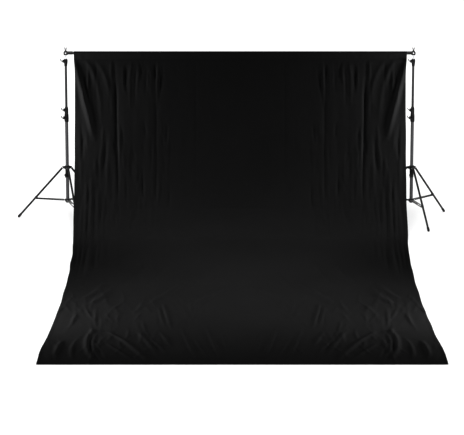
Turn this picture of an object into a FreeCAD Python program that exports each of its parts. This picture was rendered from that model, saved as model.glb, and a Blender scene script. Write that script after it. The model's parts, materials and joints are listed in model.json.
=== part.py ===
import FreeCAD, Part
import math
import os

# Backdrop stand: two telescopic tripod stands, a plug-together crossbar on their studs,
# and a cloth backdrop that hangs from the bar and runs forward over the floor.
# Millimetres.  +X runs along the crossbar, -Y is the side the cloth sweeps to, +Z is up.
# The origin is on the floor, halfway between the two posts.

# ---- overall sizes ----
POST_SPACING = 3090.0
CROSSBAR_HEIGHT = 1524.0

# ---- telescopic tubes, from the outside in ----
WALL = 1.2
BASE_RADIUS = 15.0
TUBE_STEP = 2.0
POST_ABOVE_LEGS = 460.0
BASE_BELOW_HUB = 5.0
SECTION_2_LIFT = 62.0
SECTION_2_OUT = 65.0
SECTION_3_INSERT = 280.0
SECTION_4_LIFT = 60.0
SECTION_4_OUT = 31.0
SLIDE_GAP = 0.3
BUSH_LENGTH = 30.0

# ---- clamp collars: each wall is added to its tube's radius ----
BASE_COLLAR_BELOW = 42.0
BASE_COLLAR_ABOVE = 27.0
BASE_COLLAR_WALL = 4.5
BASE_COLLAR_FOOT_WALL = 2.5
BASE_COLLAR_MOUTH_WALL = 3.0
BASE_COLLAR_FLARE = 6.0
BASE_KNOB_BELOW = 7.0
SECTION_2_COLLAR_BELOW = 36.5
SECTION_2_COLLAR_ABOVE = 26.5
SECTION_2_COLLAR_WALL = 4.0
SECTION_2_COLLAR_MOUTH_WALL = 0.5
SECTION_2_COLLAR_SHOULDER = 8.0
SECTION_2_KNOB_BELOW = 1.0
SECTION_3_COLLAR_BELOW = 33.0
SECTION_3_COLLAR_ABOVE = 30.0
SECTION_3_COLLAR_WALL = 6.5
SECTION_3_COLLAR_FOOT_WALL = 2.0
SECTION_3_COLLAR_NECK_WALL = 3.5
SECTION_3_COLLAR_NECK = 18.0
SECTION_3_COLLAR_FLARE_BELOW = 8.0
SECTION_3_COLLAR_MOUTH_WALL = 2.5
SECTION_3_KNOB_ABOVE = 10.0
LUG_HALF_WIDTH = 10.5
LUG_HALF_HEIGHT = 12.0
LUG_STANDOFF = 4.5
LUG_END = 6.5
SLIT = 1.6

# ---- wing knobs ----
BOLT_RADIUS = 3.0
BOLT_GAP = 0.3
NUT_RADIUS = 5.5
NUT_LENGTH = 4.0
NUT_SUNK = 1.0
KNOB_HUB_RADIUS = 6.5
KNOB_WING_RADIUS = 23.0
KNOB_WING_WIDTH = 7.0
KNOB_WING_THICKNESS = 6.5
KNOB_WING_SWEEP = 85.0
KNOB_CLEARANCE = 1.5
KNOB_HUB_GAP = 1.0
LEG_KNOB_WING_RADIUS = 11.0
LEG_KNOB_WING_WIDTH = 6.5

# ---- tripod ----
LEG_RADIUS = 9.0
LEG_HEADING = 15.8
LEGS = ("front", "back", "side")
LEG_PIVOT_OUT = 22.0
LEG_PIVOT_HEIGHT = 485.0
FOOT_REACH = 466.0
FOOT_RADIUS = 11.0
FOOT_FLAT = 1.0
FOOT_LENGTH = 30.0
TANG_HALF_WIDTH = 6.0
TANG_RADIUS = 8.5
TANG_LENGTH = 17.0
TANG_PLUG = 22.0
LEG_END_IN_FOOT = 3.0
PIN_RADIUS = 2.5
PIN_FIT = 0.08
PIN_HEAD_RADIUS = 4.6
PIN_HEAD = 1.6
SIDE_GAP = 0.35
LEG_COLLAR_WALL = 5.0
LEG_COLLAR_SKIRT_WALL = 3.5
LEG_COLLAR_ABOVE = 18.0
LEG_COLLAR_BELOW = 19.0
LEG_COLLAR_CHAMFER = 3.0
LEG_SKIRT_BELOW = 87.0
LEG_SKIRT_END_WALL = 2.5
EAR_THICKNESS = 4.0
EAR_RADIUS = 8.0
LEG_KNOB_BELOW = 68.0
LEG_KNOB_HEADING = -27.0
LEG_KNOB_BOSS_RADIUS = 8.0
LEG_KNOB_BOSS_OUT = 7.0

# ---- braces ----
HUB_WALL = 7.0
HUB_PIVOT_HEIGHT = 186.0
HUB_PIVOT_OUT = 6.0
HUB_BELOW = 13.0
HUB_ABOVE = 11.0
HUB_LUG_END = 6.0
CAP_FLANGE = 4.0
CAP_PLUG = 20.0
PRESS_GAP = 0.05
BRACKET_WALL = 1.5
BRACKET_LENGTH = 18.0
BRACKET_END = 7.0
BRACE_SHEET = 1.5
BRACE_SIDE_GAP = 0.7
BRACE_END_RADIUS = 6.0
BRACE_ABOVE = 7.0
BRACE_BELOW = 5.0
BRACE_WEB_START = 15.0
BRACE_WEB_SHARE = 0.62

# ---- studs, wing nuts and crossbar ----
STUD_RADIUS = 8.0
STUD_FLANGE_LIP = 2.0
STUD_BARREL = 28.0
STUD_FLANGE = 6.0
STUD_GROOVE_RADIUS = 6.5
STUD_GROOVE = 5.0
STUD_PLUG = 30.0
THREAD_RADIUS = 4.75
THREAD_FIT = 0.08
THREAD_LENGTH = 68.0
THREAD_CHAMFER = 1.0
WING_NUT_NECK = 10.0
WING_NUT_NECK_RADIUS = 7.8
WING_NUT_SPREAD = 13.0
WING_NUT_RISE = 27.0
WING_NUT_THICKNESS = 6.0
WING_NUT_TIP = 4.0
WING_NUT_TIP_WIDTH = 2.0
WING_NUT_NOTCH = 10.8
WING_NUT_GAP = 0.3
CROSSBAR_RADIUS = 12.5
CROSSBAR_SECTIONS = 4
PLUG_LENGTH = 50.0
PLUG_GAP = 0.1
END_HEAD_WALL = 6.5
END_HEAD_HALF_DEPTH = 13.0
END_BORE_GAP = 0.3
END_BASE_HALF_WIDTH = 17.0
NUT_SEAT_HALF_WIDTH = 8.3
NUT_SEAT_DEPTH = 1.0
SLEEVE_WALL = 2.3
SLEEVE_START = 11.0
SLEEVE_END = 63.0
TUBE_IN_SLEEVE = 24.0
BAR_END_GAP = 0.5
BAR_JOINT_GAP = 0.1
SET_SCREW_RADIUS = 3.0
SET_SCREW_HEAD_RADIUS = 6.5
SET_SCREW_HEAD = 3.0
SET_SCREW_DEPTH = 6.5

# ---- backdrop cloth ----
CLOTH_THICKNESS = 0.5
CLOTH_LEFT_GAP = 70.0
CLOTH_RIGHT_GAP = 55.0
POCKET_GAP = 0.7
DRAPE_CURVE = 350.0
DRAPE_STEPS = 14
CLOTH_FRONT = -4650.0
CLOTH_NARROWEST = -2400.0
CLOTH_NARROWING = 60.0

# ---- worked out ----
END_HEAD_RADIUS = CROSSBAR_RADIUS + END_HEAD_WALL
STUD_SEAT = CROSSBAR_HEIGHT - END_HEAD_RADIUS
THREAD_TOP = STUD_SEAT + THREAD_LENGTH
SECTION_2_RADIUS = BASE_RADIUS - TUBE_STEP
SECTION_3_RADIUS = SECTION_2_RADIUS - TUBE_STEP
SECTION_4_RADIUS = SECTION_3_RADIUS - TUBE_STEP
STUD_FLANGE_RADIUS = SECTION_4_RADIUS + STUD_FLANGE_LIP
HUB_RADIUS = BASE_RADIUS + HUB_WALL
HUB_PIVOT_RADIUS = HUB_RADIUS + HUB_PIVOT_OUT
HUB_BOTTOM = HUB_PIVOT_HEIGHT - HUB_BELOW
HUB_TOP = HUB_PIVOT_HEIGHT + HUB_ABOVE
LEG_COLLAR_RADIUS = BASE_RADIUS + LEG_COLLAR_WALL
LEG_COLLAR_SKIRT_RADIUS = BASE_RADIUS + LEG_COLLAR_SKIRT_WALL
LEG_SKIRT_END_RADIUS = BASE_RADIUS + LEG_SKIRT_END_WALL
LEG_COLLAR_TOP = LEG_PIVOT_HEIGHT + LEG_COLLAR_ABOVE
LEG_COLLAR_BOTTOM = LEG_PIVOT_HEIGHT - LEG_COLLAR_BELOW
LEG_SKIRT_BOTTOM = LEG_PIVOT_HEIGHT - LEG_SKIRT_BELOW
LEG_KNOB_HEIGHT = LEG_PIVOT_HEIGHT - LEG_KNOB_BELOW
LEG_KNOB_BOSS_REACH = LEG_COLLAR_RADIUS + LEG_KNOB_BOSS_OUT
LEG_PIVOT_RADIUS = LEG_COLLAR_RADIUS + LEG_PIVOT_OUT
BRACE_OFFSET = LEG_PIVOT_RADIUS - HUB_PIVOT_RADIUS
BASE_BOTTOM = HUB_BOTTOM - BASE_BELOW_HUB
BASE_TOP = LEG_PIVOT_HEIGHT + POST_ABOVE_LEGS
SECTION_2_BOTTOM = BASE_BOTTOM + SECTION_2_LIFT
SECTION_2_TOP = BASE_TOP + SECTION_2_OUT
SECTION_4_TOP = STUD_SEAT - STUD_BARREL - STUD_FLANGE
SECTION_3_BOTTOM = SECTION_2_TOP - SECTION_3_INSERT
SECTION_3_TOP = SECTION_4_TOP - SECTION_4_OUT
SECTION_4_BOTTOM = SECTION_3_BOTTOM + SECTION_4_LIFT
BASE_COLLAR_BOTTOM = BASE_TOP - BASE_COLLAR_BELOW
BASE_COLLAR_TOP = BASE_TOP + BASE_COLLAR_ABOVE
BASE_COLLAR_RADIUS = BASE_RADIUS + BASE_COLLAR_WALL
BASE_COLLAR_FOOT_RADIUS = BASE_RADIUS + BASE_COLLAR_FOOT_WALL
BASE_COLLAR_MOUTH_RADIUS = BASE_RADIUS + BASE_COLLAR_MOUTH_WALL
BASE_KNOB_HEIGHT = BASE_TOP - BASE_KNOB_BELOW
SECTION_2_COLLAR_BOTTOM = SECTION_2_TOP - SECTION_2_COLLAR_BELOW
SECTION_2_COLLAR_TOP = SECTION_2_TOP + SECTION_2_COLLAR_ABOVE
SECTION_2_COLLAR_RADIUS = SECTION_2_RADIUS + SECTION_2_COLLAR_WALL
SECTION_2_COLLAR_MOUTH_RADIUS = SECTION_2_RADIUS + SECTION_2_COLLAR_MOUTH_WALL
SECTION_2_KNOB_HEIGHT = SECTION_2_TOP - SECTION_2_KNOB_BELOW
SECTION_3_COLLAR_BOTTOM = SECTION_3_TOP - SECTION_3_COLLAR_BELOW
SECTION_3_COLLAR_TOP = SECTION_3_TOP + SECTION_3_COLLAR_ABOVE
SECTION_3_COLLAR_RADIUS = SECTION_3_RADIUS + SECTION_3_COLLAR_WALL
SECTION_3_COLLAR_FOOT_RADIUS = SECTION_3_RADIUS + SECTION_3_COLLAR_FOOT_WALL
SECTION_3_COLLAR_NECK_RADIUS = SECTION_3_RADIUS + SECTION_3_COLLAR_NECK_WALL
SECTION_3_COLLAR_MOUTH_RADIUS = SECTION_3_RADIUS + SECTION_3_COLLAR_MOUTH_WALL
SECTION_3_KNOB_HEIGHT = SECTION_3_TOP + SECTION_3_KNOB_ABOVE
CLOTH_LEFT = CLOTH_LEFT_GAP - POST_SPACING / 2
CLOTH_RIGHT = POST_SPACING / 2 - CLOTH_RIGHT_GAP
WING_NUT_SEAT = CROSSBAR_HEIGHT + END_HEAD_RADIUS - NUT_SEAT_DEPTH + WING_NUT_GAP
FOOT_CENTRE_HEIGHT = FOOT_RADIUS - FOOT_FLAT
LEG_RUN = FOOT_REACH - LEG_PIVOT_RADIUS
LEG_DROP = LEG_PIVOT_HEIGHT - FOOT_CENTRE_HEIGHT
LEG_LENGTH = math.hypot(LEG_RUN, LEG_DROP)
LEG_ANGLE = math.degrees(math.atan2(LEG_RUN, LEG_DROP))
LEG_SIN = LEG_RUN / LEG_LENGTH
LEG_COS = LEG_DROP / LEG_LENGTH
BRACKET_DISTANCE = (LEG_PIVOT_HEIGHT - HUB_PIVOT_HEIGHT - BRACE_OFFSET * LEG_SIN) / LEG_COS
BRACKET_REACH = LEG_PIVOT_RADIUS + BRACKET_DISTANCE * LEG_SIN - BRACE_OFFSET * LEG_COS
BRACE_LENGTH = BRACKET_REACH - HUB_PIVOT_RADIUS
FOLD_TRAVEL = HUB_PIVOT_HEIGHT + BRACE_LENGTH + BRACKET_DISTANCE - LEG_PIVOT_HEIGHT
BRACKET_HALF_WIDTH = LEG_RADIUS + BRACKET_WALL
BRACE_INNER = BRACKET_HALF_WIDTH + BRACE_SIDE_GAP
BRACE_OUTER = BRACE_INNER + BRACE_SHEET
SLEEVE_RADIUS = CROSSBAR_RADIUS + SLEEVE_WALL
POCKET_RADIUS = SLEEVE_RADIUS + POCKET_GAP
STANDS = (("left", -POST_SPACING / 2), ("right", POST_SPACING / 2))


def point(x, y, z):
    return FreeCAD.Vector(x, y, z)


X_AXIS = point(1, 0, 0)
Y_AXIS = point(0, 1, 0)
Z_AXIS = point(0, 0, 1)
ORIGIN = point(0, 0, 0)


def rod(radius, start, end):
    """Solid round bar between two points."""
    return Part.makeCylinder(radius, (end - start).Length, start, end - start)


def pipe(outer, inner, bottom, top):
    """Upright tube on the Z axis."""
    ring = rod(outer, point(0, 0, bottom), point(0, 0, top))
    return ring.cut(rod(inner, point(0, 0, bottom - 1), point(0, 0, top + 1)))


def block(low, high):
    """Box between two opposite corners, given as (x, y, z)."""
    size = [b - a for a, b in zip(low, high)]
    return Part.makeBox(size[0], size[1], size[2], point(*low))


def turned(outline):
    """Solid of revolution about Z, from (radius, height) corners."""
    corners = [point(radius, 0, height) for radius, height in outline]
    face = Part.Face(Part.makePolygon(corners + [corners[0]]))
    return face.revolve(ORIGIN, Z_AXIS, 360)


def plate(outline, thickness, middle=0.0):
    """Plate in the XZ plane, from (x, z) corners, centred on y = middle."""
    low = middle - thickness / 2
    corners = [point(x, low, z) for x, z in outline]
    face = Part.Face(Part.makePolygon(corners + [corners[0]]))
    return face.extrude(point(0, thickness, 0))


def round_plate(x, z, radius, thickness, middle=0.0):
    """Disc in the XZ plane, centred on y = middle."""
    low = middle - thickness / 2
    return rod(radius, point(x, low, z), point(x, low + thickness, z))


def turned_about(shape, axis, angle, centre=ORIGIN):
    copy = shape.copy()
    copy.rotate(centre, axis, angle)
    return copy


def moved(shape, x=0.0, y=0.0, z=0.0):
    copy = shape.copy()
    copy.translate(point(x, y, z))
    return copy


def fused(shapes):
    return shapes[0].fuse(shapes[1:]).removeSplitter()


def save(node, *solids):
    """Write one node; several solids stay separate pieces of it."""
    shape = solids[0]
    if len(solids) > 1:
        shape = Part.makeCompound(list(solids))
    shape.exportStep("parts/" + node + ".step")


def headings():
    """Name and angle of each leg about Z, from +X."""
    return [(name, LEG_HEADING - 90 + 120 * index) for index, name in enumerate(LEGS)]


def on_leg(shape, heading, post_x):
    """From leg space (Z down the leg from its pivot, X to its under side) to its place."""
    tilted = turned_about(shape, Y_AXIS, 180 - LEG_ANGLE)
    raised = moved(tilted, x=LEG_PIVOT_RADIUS, z=LEG_PIVOT_HEIGHT)
    return moved(turned_about(raised, Z_AXIS, heading), x=post_x)


def on_heading(shape, heading, post_x):
    """From radial space (X outward from the post) to its place."""
    return moved(turned_about(shape, Z_AXIS, heading), x=post_x)


# ---- wing knob: bolt along -Y, its curved wings in the XZ plane ----
def knob_wing(wing_radius, width):
    """One curved wing, from the hub to its rounded tip."""
    sweep = math.radians(KNOB_WING_SWEEP)
    outer = wing_radius + width / 2
    inner = wing_radius - width / 2

    def on_arc(radius, angle):
        return point(-radius * math.sin(angle), 0, wing_radius - radius * math.cos(angle))

    tip_angle = sweep + width / 2 / wing_radius
    edges = [
        Part.Arc(on_arc(outer, 0), on_arc(outer, sweep / 2), on_arc(outer, sweep)).toShape(),
        Part.Arc(on_arc(outer, sweep), on_arc(wing_radius, tip_angle), on_arc(inner, sweep)).toShape(),
        Part.Arc(on_arc(inner, sweep), on_arc(inner, sweep / 2), on_arc(inner, 0)).toShape(),
        Part.LineSegment(on_arc(inner, 0), on_arc(outer, 0)).toShape(),
    ]
    face = Part.Face(Part.Wire(edges))
    return face.extrude(point(0, KNOB_WING_THICKNESS, 0))


def wing_knob(bolt_back, hub_front, hub_back, wing_radius, width, turn):
    """Knob whose bolt runs from y = bolt_back to the hub, which ends at y = hub_front."""
    wing = knob_wing(wing_radius, width)
    other = turned_about(wing, Y_AXIS, 180)
    hub = rod(KNOB_HUB_RADIUS, point(0, hub_front, 0), point(0, hub_back, 0))
    bolt = rod(BOLT_RADIUS, point(0, hub_back, 0), point(0, bolt_back, 0))
    wings = [moved(wing, y=hub_front), moved(other, y=hub_front)]
    return turned_about(fused([hub, bolt] + wings), Y_AXIS, turn)


# ---- clamp collar with a split lug on the -X side ----
def hexagon(radius, x, z, start, length):
    """Hexagonal prism along Y."""
    corners = []
    for index in range(6):
        angle = math.radians(60 * index)
        corners.append(point(x + radius * math.cos(angle), start, z + radius * math.sin(angle)))
    face = Part.Face(Part.makePolygon(corners + [corners[0]]))
    return face.extrude(point(0, length, 0))


def clamp_collar(outside, seat_radius, seat_top, slide_radius, lug_x, lug_z):
    """Collar that sits on one tube's end and guides the next tube through it."""
    bottom = outside[0][1]
    top = outside[-1][1]
    body = turned([(0, bottom)] + outside + [(0, top)])
    lug = block((-lug_x - LUG_END, -LUG_HALF_WIDTH, lug_z - LUG_HALF_HEIGHT),
                (0, LUG_HALF_WIDTH, lug_z + LUG_HALF_HEIGHT))
    nut = hexagon(NUT_RADIUS, -lug_x, lug_z, LUG_HALF_WIDTH - NUT_SUNK, NUT_LENGTH + NUT_SUNK)
    body = body.fuse([lug, nut])
    body = body.cut(rod(seat_radius, point(0, 0, bottom - 1), point(0, 0, seat_top)))
    body = body.cut(rod(slide_radius, point(0, 0, seat_top - 1), point(0, 0, top + 1)))
    body = body.cut(rod(BOLT_RADIUS + BOLT_GAP, point(-lug_x, -LUG_HALF_WIDTH - 1, lug_z),
                        point(-lug_x, LUG_HALF_WIDTH + NUT_LENGTH, lug_z)))
    slit = block((-lug_x - LUG_END - 1, -SLIT / 2, lug_z - LUG_HALF_HEIGHT - 1),
                 (0, SLIT / 2, top + 1))
    return body.cut(slit)


def clamp_knob(lug_x, lug_z, collar_radius):
    """Wing knob of a clamp collar, in front of its lug."""
    hub_back = -LUG_HALF_WIDTH - KNOB_HUB_GAP
    hub_front = -collar_radius - KNOB_CLEARANCE - KNOB_WING_THICKNESS
    bolt_back = LUG_HALF_WIDTH + NUT_LENGTH
    knob = wing_knob(bolt_back, hub_front, hub_back, KNOB_WING_RADIUS, KNOB_WING_WIDTH, 0)
    return moved(knob, x=-lug_x, z=lug_z)


# ---- telescopic tubes ----
def guided_tube(radius, outer_tube_radius, bottom, top):
    """Tube with a guide bush on its foot that runs in the tube outside it."""
    tube = pipe(radius, radius - WALL, bottom, top)
    bush = pipe(outer_tube_radius - WALL - SLIDE_GAP, radius - WALL, bottom, bottom + BUSH_LENGTH)
    return tube.fuse(bush)


def base_collar():
    outside = [(BASE_COLLAR_FOOT_RADIUS, BASE_COLLAR_BOTTOM),
               (BASE_COLLAR_RADIUS, BASE_COLLAR_BOTTOM + BASE_COLLAR_FLARE),
               (BASE_COLLAR_RADIUS, BASE_KNOB_HEIGHT + LUG_HALF_HEIGHT),
               (BASE_COLLAR_MOUTH_RADIUS, BASE_COLLAR_TOP)]
    return clamp_collar(outside, BASE_RADIUS, BASE_TOP, SECTION_2_RADIUS + SLIDE_GAP,
                        BASE_COLLAR_RADIUS + LUG_STANDOFF, BASE_KNOB_HEIGHT)


def section_2_collar():
    outside = [(SECTION_2_COLLAR_RADIUS, SECTION_2_COLLAR_BOTTOM),
               (SECTION_2_COLLAR_RADIUS, SECTION_2_KNOB_HEIGHT + SECTION_2_COLLAR_SHOULDER),
               (SECTION_2_COLLAR_MOUTH_RADIUS, SECTION_2_COLLAR_TOP)]
    return clamp_collar(outside, SECTION_2_RADIUS, SECTION_2_TOP, SECTION_3_RADIUS + SLIDE_GAP,
                        SECTION_2_COLLAR_RADIUS + LUG_STANDOFF, SECTION_2_KNOB_HEIGHT)


def section_3_collar():
    outside = [(SECTION_3_COLLAR_FOOT_RADIUS, SECTION_3_COLLAR_BOTTOM),
               (SECTION_3_COLLAR_NECK_RADIUS, SECTION_3_COLLAR_BOTTOM + SECTION_3_COLLAR_NECK),
               (SECTION_3_COLLAR_RADIUS, SECTION_3_KNOB_HEIGHT - SECTION_3_COLLAR_FLARE_BELOW),
               (SECTION_3_COLLAR_RADIUS, SECTION_3_KNOB_HEIGHT + LUG_HALF_HEIGHT),
               (SECTION_3_COLLAR_MOUTH_RADIUS, SECTION_3_COLLAR_TOP)]
    return clamp_collar(outside, SECTION_3_RADIUS, SECTION_3_TOP, SECTION_4_RADIUS + SLIDE_GAP,
                        SECTION_3_COLLAR_RADIUS + LUG_STANDOFF, SECTION_3_KNOB_HEIGHT)


# ---- tripod ----
def pivot_pin(half_span):
    """Headed pin along Y, its heads clear of what it passes through."""
    shank = rod(PIN_RADIUS, point(0, -half_span - SIDE_GAP, 0), point(0, half_span + SIDE_GAP, 0))
    heads = []
    for side in (-1, 1):
        start = point(0, side * (half_span + SIDE_GAP), 0)
        end = point(0, side * (half_span + SIDE_GAP + PIN_HEAD), 0)
        heads.append(rod(PIN_HEAD_RADIUS, start, end))
    return fused([shank] + heads)


def leg():
    """Leg in its own space: tang and tube down +Z from the pivot, bracket on the +X side."""
    head = round_plate(0, 0, TANG_RADIUS, 2 * TANG_HALF_WIDTH)
    neck = block((-TANG_RADIUS, -TANG_HALF_WIDTH, 0), (TANG_RADIUS, TANG_HALF_WIDTH, TANG_LENGTH))
    plug_end = TANG_LENGTH + TANG_PLUG
    plug = rod(LEG_RADIUS - WALL, point(0, 0, TANG_LENGTH), point(0, 0, plug_end))
    tube = pipe(LEG_RADIUS, LEG_RADIUS - WALL, TANG_LENGTH, LEG_LENGTH - LEG_END_IN_FOOT)
    band = rod(LEG_RADIUS + BRACKET_WALL, point(0, 0, BRACKET_DISTANCE - BRACKET_LENGTH / 2),
               point(0, 0, BRACKET_DISTANCE + BRACKET_LENGTH / 2))
    lug = fused([round_plate(BRACE_OFFSET, BRACKET_DISTANCE, BRACKET_END, 2 * BRACKET_HALF_WIDTH),
                 block((0, -BRACKET_HALF_WIDTH, BRACKET_DISTANCE - BRACKET_END),
                       (BRACE_OFFSET, BRACKET_HALF_WIDTH, BRACKET_DISTANCE + BRACKET_END))])
    inside = rod(LEG_RADIUS - WALL, point(0, 0, plug_end), point(0, 0, LEG_LENGTH - LEG_END_IN_FOOT))
    solid = fused([head, neck, plug, tube, band.fuse(lug).cut(inside)])
    pin_hole = rod(PIN_RADIUS + PIN_FIT, point(0, -LEG_RADIUS - 1, 0), point(0, LEG_RADIUS + 1, 0))
    rivet_hole = rod(PIN_RADIUS + PIN_FIT, point(BRACE_OFFSET, -BRACKET_HALF_WIDTH - 1, BRACKET_DISTANCE),
                     point(BRACE_OFFSET, BRACKET_HALF_WIDTH + 1, BRACKET_DISTANCE))
    return solid.cut(pin_hole).cut(rivet_hole)


def foot():
    """Rubber tip on the leg's end, with a small flat where it meets the floor."""
    sleeve = rod(FOOT_RADIUS, point(0, 0, LEG_LENGTH - FOOT_LENGTH), point(0, 0, LEG_LENGTH))
    dome = Part.makeSphere(FOOT_RADIUS, point(0, 0, LEG_LENGTH))
    bore = rod(LEG_RADIUS, point(0, 0, LEG_LENGTH - FOOT_LENGTH - 1),
               point(0, 0, LEG_LENGTH - LEG_END_IN_FOOT))
    return fused([sleeve, dome]).cut(bore)


def floor_cut(shape):
    """The part of a placed shape that is above the floor."""
    reach = POST_SPACING
    return shape.cut(block((-reach, -reach, -FOOT_RADIUS), (reach, reach, 0)))


def brace():
    """Pressed channel along +X from its hub pivot: web on top, forked past the web."""
    web_end = BRACE_LENGTH * BRACE_WEB_SHARE
    web = block((BRACE_WEB_START, -BRACE_OUTER, BRACE_ABOVE - BRACE_SHEET),
                (web_end, BRACE_OUTER, BRACE_ABOVE))
    parts = [web]
    for side in (-1, 1):
        middle = side * (BRACE_INNER + BRACE_SHEET / 2)
        low = middle - BRACE_SHEET / 2
        high = middle + BRACE_SHEET / 2
        strip = block((0, low, -BRACE_BELOW), (BRACE_LENGTH, high, BRACE_BELOW))
        flange = block((BRACE_WEB_START, low, 0), (web_end, high, BRACE_ABOVE))
        ends = [round_plate(x, 0, BRACE_END_RADIUS, BRACE_SHEET, middle) for x in (0, BRACE_LENGTH)]
        ear = fused([strip, flange] + ends)
        ear = ear.cut(rod(PIN_RADIUS + PIN_FIT, point(0, low - 1, 0), point(0, high + 1, 0)))
        rivet = rod(PIN_HEAD_RADIUS, point(BRACE_LENGTH, side * BRACE_OUTER, 0),
                    point(BRACE_LENGTH, side * (BRACE_OUTER + PIN_HEAD), 0))
        parts.append(ear.fuse(rivet))
    return fused(parts)


def brace_hub():
    """Hub clamped on the post's foot, with a lug for each brace."""
    parts = [rod(HUB_RADIUS, point(0, 0, HUB_BOTTOM), point(0, 0, HUB_TOP))]
    for name, heading in headings():
        lug = round_plate(HUB_PIVOT_RADIUS, HUB_PIVOT_HEIGHT, HUB_LUG_END, 2 * BRACKET_HALF_WIDTH)
        neck = block((0, -BRACKET_HALF_WIDTH, HUB_PIVOT_HEIGHT - HUB_LUG_END),
                     (HUB_PIVOT_RADIUS, BRACKET_HALF_WIDTH, HUB_PIVOT_HEIGHT + HUB_LUG_END))
        parts.append(turned_about(lug.fuse(neck), Z_AXIS, heading))
    hub = fused(parts).cut(rod(BASE_RADIUS, point(0, 0, HUB_BOTTOM - 1), point(0, 0, HUB_TOP + 1)))
    for name, heading in headings():
        hole = rod(PIN_RADIUS, point(HUB_PIVOT_RADIUS, -HUB_RADIUS, HUB_PIVOT_HEIGHT),
                   point(HUB_PIVOT_RADIUS, HUB_RADIUS, HUB_PIVOT_HEIGHT))
        hub = hub.cut(turned_about(hole, Z_AXIS, heading))
    return hub


def leg_collar():
    """Sliding collar: a pair of ears for each leg, and a skirt with a knob boss."""
    root_top = LEG_COLLAR_TOP - LEG_COLLAR_CHAMFER
    root_bottom = LEG_COLLAR_BOTTOM + LEG_COLLAR_CHAMFER
    outside = [(0, LEG_SKIRT_BOTTOM), (LEG_SKIRT_END_RADIUS, LEG_SKIRT_BOTTOM),
               (LEG_COLLAR_SKIRT_RADIUS, LEG_COLLAR_BOTTOM), (LEG_COLLAR_RADIUS, root_bottom),
               (LEG_COLLAR_RADIUS, root_top), (LEG_COLLAR_SKIRT_RADIUS, LEG_COLLAR_TOP),
               (0, LEG_COLLAR_TOP)]
    parts = [turned(outside)]
    ear_inner = TANG_HALF_WIDTH + SIDE_GAP
    for name, heading in headings():
        for side in (-1, 1):
            middle = side * (ear_inner + EAR_THICKNESS / 2)
            web = plate([(0, root_bottom), (LEG_PIVOT_RADIUS, LEG_PIVOT_HEIGHT - EAR_RADIUS),
                         (LEG_PIVOT_RADIUS, LEG_PIVOT_HEIGHT + EAR_RADIUS), (0, root_top)],
                        EAR_THICKNESS, middle)
            end = round_plate(LEG_PIVOT_RADIUS, LEG_PIVOT_HEIGHT, EAR_RADIUS, EAR_THICKNESS, middle)
            parts.append(turned_about(web.fuse(end), Z_AXIS, heading))
    boss = rod(LEG_KNOB_BOSS_RADIUS, point(0, 0, LEG_KNOB_HEIGHT),
               point(0, -LEG_KNOB_BOSS_REACH, LEG_KNOB_HEIGHT))
    parts.append(turned_about(boss, Z_AXIS, LEG_KNOB_HEADING))
    collar = fused(parts)
    collar = collar.cut(rod(BASE_RADIUS + SLIDE_GAP, point(0, 0, LEG_SKIRT_BOTTOM - 1),
                            point(0, 0, LEG_COLLAR_TOP + 1)))
    bolt_hole = rod(BOLT_RADIUS + BOLT_GAP, point(0, 0, LEG_KNOB_HEIGHT),
                    point(0, -LEG_KNOB_BOSS_REACH - 1, LEG_KNOB_HEIGHT))
    collar = collar.cut(turned_about(bolt_hole, Z_AXIS, LEG_KNOB_HEADING))
    half_span = ear_inner + EAR_THICKNESS
    for name, heading in headings():
        hole = rod(PIN_RADIUS, point(LEG_PIVOT_RADIUS, -half_span, LEG_PIVOT_HEIGHT),
                   point(LEG_PIVOT_RADIUS, half_span, LEG_PIVOT_HEIGHT))
        collar = collar.cut(turned_about(hole, Z_AXIS, heading))
    return collar


def leg_knob():
    """Knob whose bolt bears on the post through the leg collar's skirt."""
    hub_back = -LEG_KNOB_BOSS_REACH - KNOB_HUB_GAP
    hub_front = hub_back - KNOB_HUB_RADIUS - KNOB_WING_THICKNESS
    upright = 90 - KNOB_WING_SWEEP / 2
    knob = wing_knob(-BASE_RADIUS - SLIDE_GAP / 2, hub_front, hub_back,
                     LEG_KNOB_WING_RADIUS, LEG_KNOB_WING_WIDTH, upright)
    return turned_about(moved(knob, z=LEG_KNOB_HEIGHT), Z_AXIS, LEG_KNOB_HEADING)


# ---- studs, wing nuts and crossbar ----
def stud():
    """Plated stud plugged into the top tube: flange, grooved barrel and threaded tip."""
    flange_bottom = SECTION_4_TOP
    barrel_bottom = flange_bottom + STUD_FLANGE
    groove_middle = (barrel_bottom + STUD_SEAT) / 2
    groove_bottom = groove_middle - STUD_GROOVE / 2
    groove_top = groove_middle + STUD_GROOVE / 2
    outline = [(0, flange_bottom - STUD_PLUG), (SECTION_4_RADIUS - WALL, flange_bottom - STUD_PLUG),
               (SECTION_4_RADIUS - WALL, flange_bottom), (STUD_FLANGE_RADIUS, flange_bottom),
               (STUD_FLANGE_RADIUS, barrel_bottom), (STUD_RADIUS, barrel_bottom),
               (STUD_RADIUS, groove_bottom), (STUD_GROOVE_RADIUS, groove_bottom),
               (STUD_GROOVE_RADIUS, groove_top), (STUD_RADIUS, groove_top),
               (STUD_RADIUS, STUD_SEAT), (THREAD_RADIUS, STUD_SEAT),
               (THREAD_RADIUS, THREAD_TOP - THREAD_CHAMFER),
               (THREAD_RADIUS - THREAD_CHAMFER, THREAD_TOP), (0, THREAD_TOP)]
    return turned(outline)


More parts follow.
